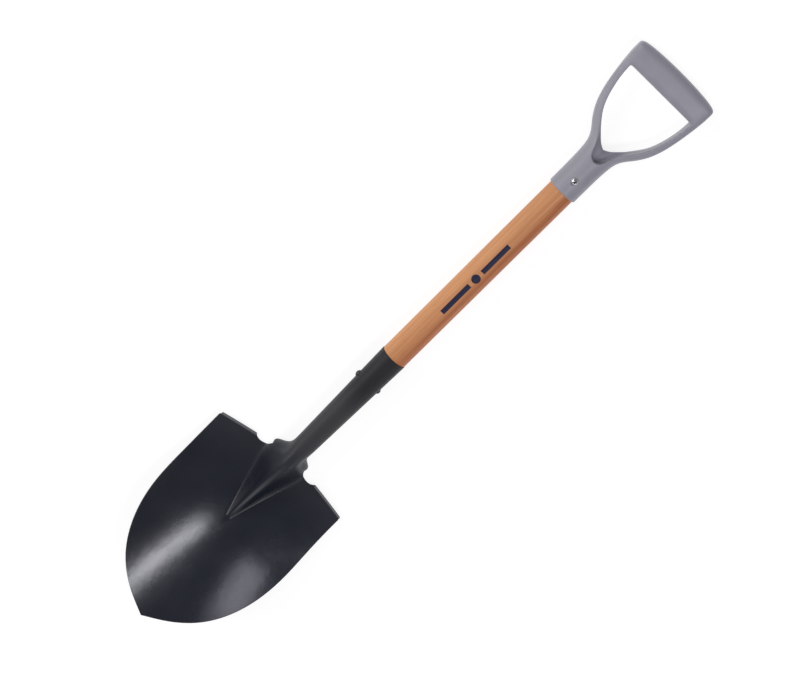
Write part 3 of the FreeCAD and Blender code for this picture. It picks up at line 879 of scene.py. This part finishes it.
def rivet_paint():
    """The socket's paint on the rivet, rubbed a little on top of the head."""
    p = Paint("rivet_paint")
    place = p.tool_place()
    fine = p.noise(place, 500.0, 3.0, 0.6)
    colour = p.colour(p.ramp(fine, 0.35, 0.7), (0.020, 0.021, 0.025), (0.040, 0.040, 0.044))
    pointed = p.add("ShaderNodeNewGeometry").outputs["Pointiness"]
    colour = p.colour(p.ramp(pointed, 0.56, 0.72, 0.0, 0.6), colour, (0.16, 0.16, 0.17))
    rough = p.ramp(fine, 0.3, 0.7, 0.30, 0.42)
    return p.finish(Base_Color=colour, Roughness=rough, Normal=p.bump(fine, 0.08, 0.0003))


# ---- the object ----
def keep(node, material):
    """A CAD node that stays as it is, with a finished material."""
    target = frame["nodes"][node]
    target.data.materials.clear()
    target.data.materials.append(material)
    for k in range(len(target.material_slots)):
        target.material_slots[k].material = material


def stand_in(piece, node, material):
    piece.data.materials.append(material)
    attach(piece, "root")
    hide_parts(node)


stand_in(blade(), "blade", painted_steel())
stand_in(grip(), "grip", grey_plastic())
keep("shaft", wood())
keep("socket_rivet", rivet_paint())
keep("grip_screw", bright_zinc())


# ---- floor, light and camera ----
FLOOR_HALF_SIZE = 40.0
LENS_MM = 73.28
CAMERA_PLACE = (0.561, 0.337, 2.019)    # metres in the tool's frame
CAMERA_TURN = (3.106, -1.318, -0.310)   # axis of its rotation, with the angle as its length


def floor():
    """Table under the shovel; its own glow makes it white."""
    mesh = bpy.data.meshes.new("floor")
    size = FLOOR_HALF_SIZE
    corners = [(-size, -size, 0), (size, -size, 0), (size, size, 0), (-size, size, 0)]
    mesh.from_pydata(corners, [], [(0, 1, 2, 3)])
    made = bpy.data.objects.new("floor", mesh)
    bpy.context.scene.collection.objects.link(made)
    made.location.z = cad_low.z - 0.0005
    p = Paint("lit_table")
    mesh.materials.append(p.finish(
        Base_Color=(0.3, 0.3, 0.3, 1.0), Roughness=0.9, Specular_IOR_Level=0.0,
        Emission_Color=(1.0, 1.0, 1.0, 1.0), Emission_Strength=0.82))


def softbox(name, spot, aim, along, size, power, colour=(1, 1, 1)):
    """Rectangular light; size is its width, then its length in the direction called along."""
    light = bpy.data.lights.new(name, "AREA")
    light.shape = "RECTANGLE"
    light.size, light.size_y = size
    light.energy = power
    light.color = colour
    made = bpy.data.objects.new(name, light)
    back = (Vector(spot) - Vector(aim)).normalized()
    across = Vector(along).cross(back).normalized()
    made.matrix_world = Matrix((across, back.cross(across), back)).transposed().to_4x4()
    made.location = spot
    bpy.context.scene.collection.objects.link(made)


def camera():
    """Above the front of the shovel, a little towards the grip and to the left."""
    made = bpy.data.objects.new("camera", bpy.data.cameras.new("camera"))
    made.data.lens = LENS_MM
    made.data.clip_start, made.data.clip_end = 0.05, 50
    turn = Vector(CAMERA_TURN)
    to_camera = Matrix.Rotation(turn.length, 3, turn)
    right, down, ahead = to_camera
    in_tool = Matrix((right, -down, -ahead)).transposed().to_4x4()
    in_tool.translation = Vector(CAMERA_PLACE)
    made.matrix_world = TOOL @ in_tool
    bpy.context.scene.collection.objects.link(made)
    bpy.context.scene.camera = made


def sky(strength):
    world = bpy.data.worlds.new("studio")
    world.use_nodes = True
    world.node_tree.nodes["Background"].inputs[0].default_value = (1, 1, 1, 1)
    world.node_tree.nodes["Background"].inputs[1].default_value = strength
    bpy.context.scene.world = world


floor()
sky(0.20)
softbox("right_strip", (0.38, -0.71, 1.8), (-0.4, 0, 0), (0.93, -0.37, 0),
        (0.22, 1.10), 11, (0.94, 0.95, 1.0))
softbox("left_panel", (0.13, 0.66, 1.8), (-0.4, 0, 0), (0.95, 0.3, 0),
        (0.48, 0.66), 4, (0.90, 0.90, 1.0))
softbox("left_wall", (-0.2, 2.3, 1.5), (0, 0, 0), (1, 0, 0), (1.4, 3.2), 38, (1.0, 0.985, 0.96))
softbox("right_wall", (-0.9, -2.1, 1.1), (0, 0, 0), (1, 0, 0), (0.8, 1.6), 7)
softbox("point_end", (-2.0, -0.3, 1.2), (-0.3, 0, 0), (0, 1, 0), (0.8, 1.2), 3)
camera()
bpy.context.scene.view_settings.view_transform = "Standard"
